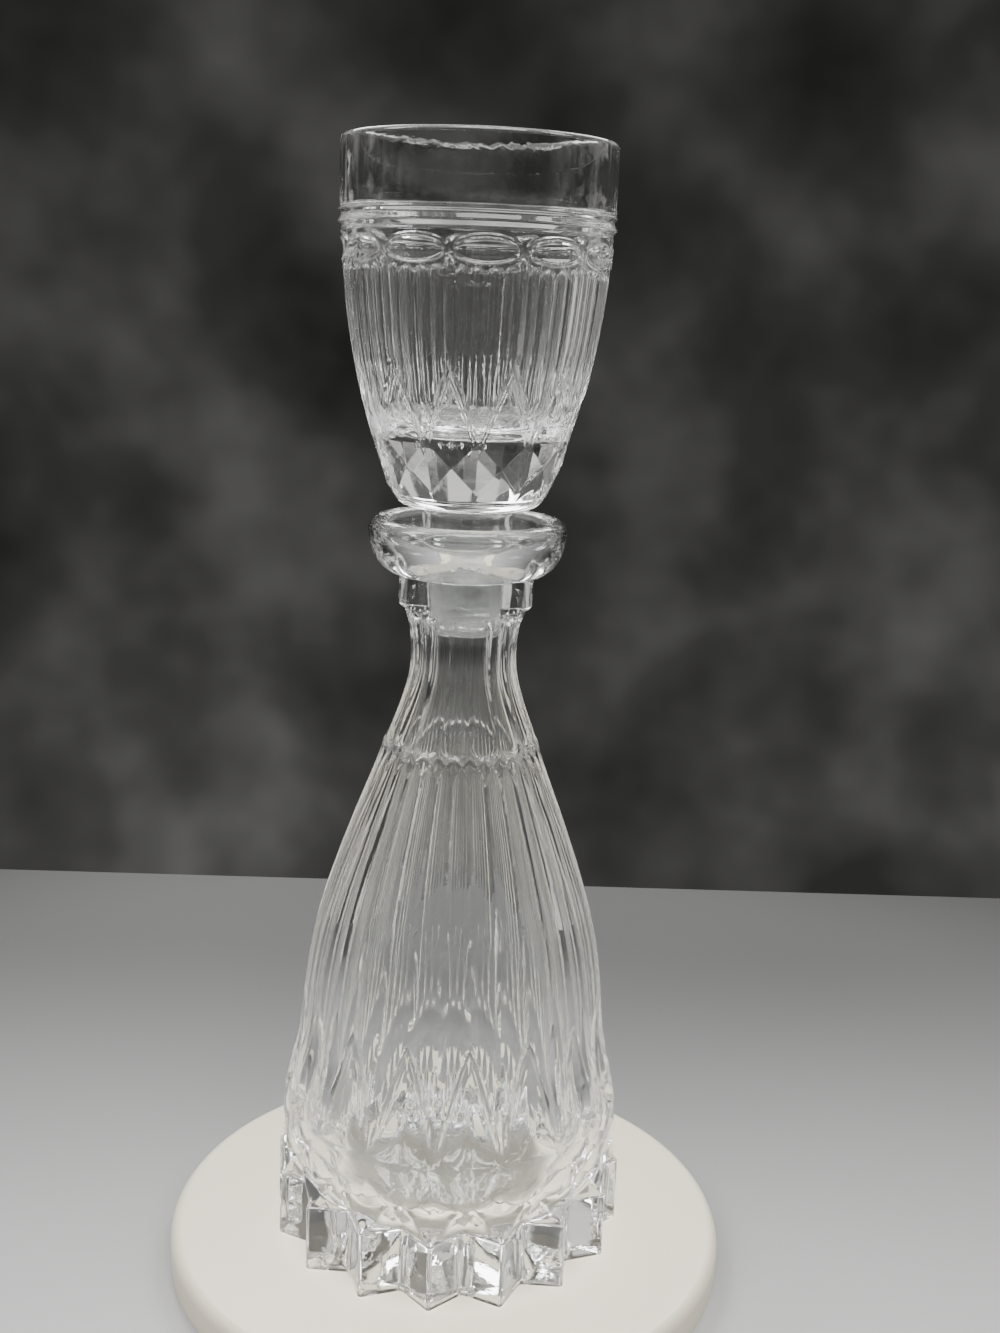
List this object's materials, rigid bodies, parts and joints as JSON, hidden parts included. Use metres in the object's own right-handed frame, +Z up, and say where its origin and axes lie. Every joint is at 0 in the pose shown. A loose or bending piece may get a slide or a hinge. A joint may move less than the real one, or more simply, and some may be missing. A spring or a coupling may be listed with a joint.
{
  "type": "decanter",
  "caption": "Pressed crystal decanter on a star-pointed foot, with lancets, fine flutes, a flared lip and a drinking-cup stopper in a soft plug sleeve.",
  "frame": {"origin": "on the vertical axis, at the underside of the foot", "axes": "+Z up along the axis; -Y faces the front, where one point of the foot lies"},
  "size_m": [0.0916, 0.0916, 0.2742],
  "materials": {
    "crystal": "clear polished",
    "milky_plastic": "translucent"
  },
  "bodies": {
    "decanter": {"decanter_body": "crystal"},
    "sleeve": {"stopper_sleeve": "milky_plastic"},
    "cup": {"cup_stopper": "crystal"}
  },
  "joints": [
    {"name": "stopper_lift", "type": "slide", "parent": "decanter", "child": "sleeve", "axis": [0, 0, 1], "range_m": [0, 0.04]},
    {"name": "stopper_turn", "type": "hinge", "parent": "sleeve", "child": "cup", "pos_m": [0, 0, 0.178], "axis": [0, 0, 1], "continuous": true}
  ]
}
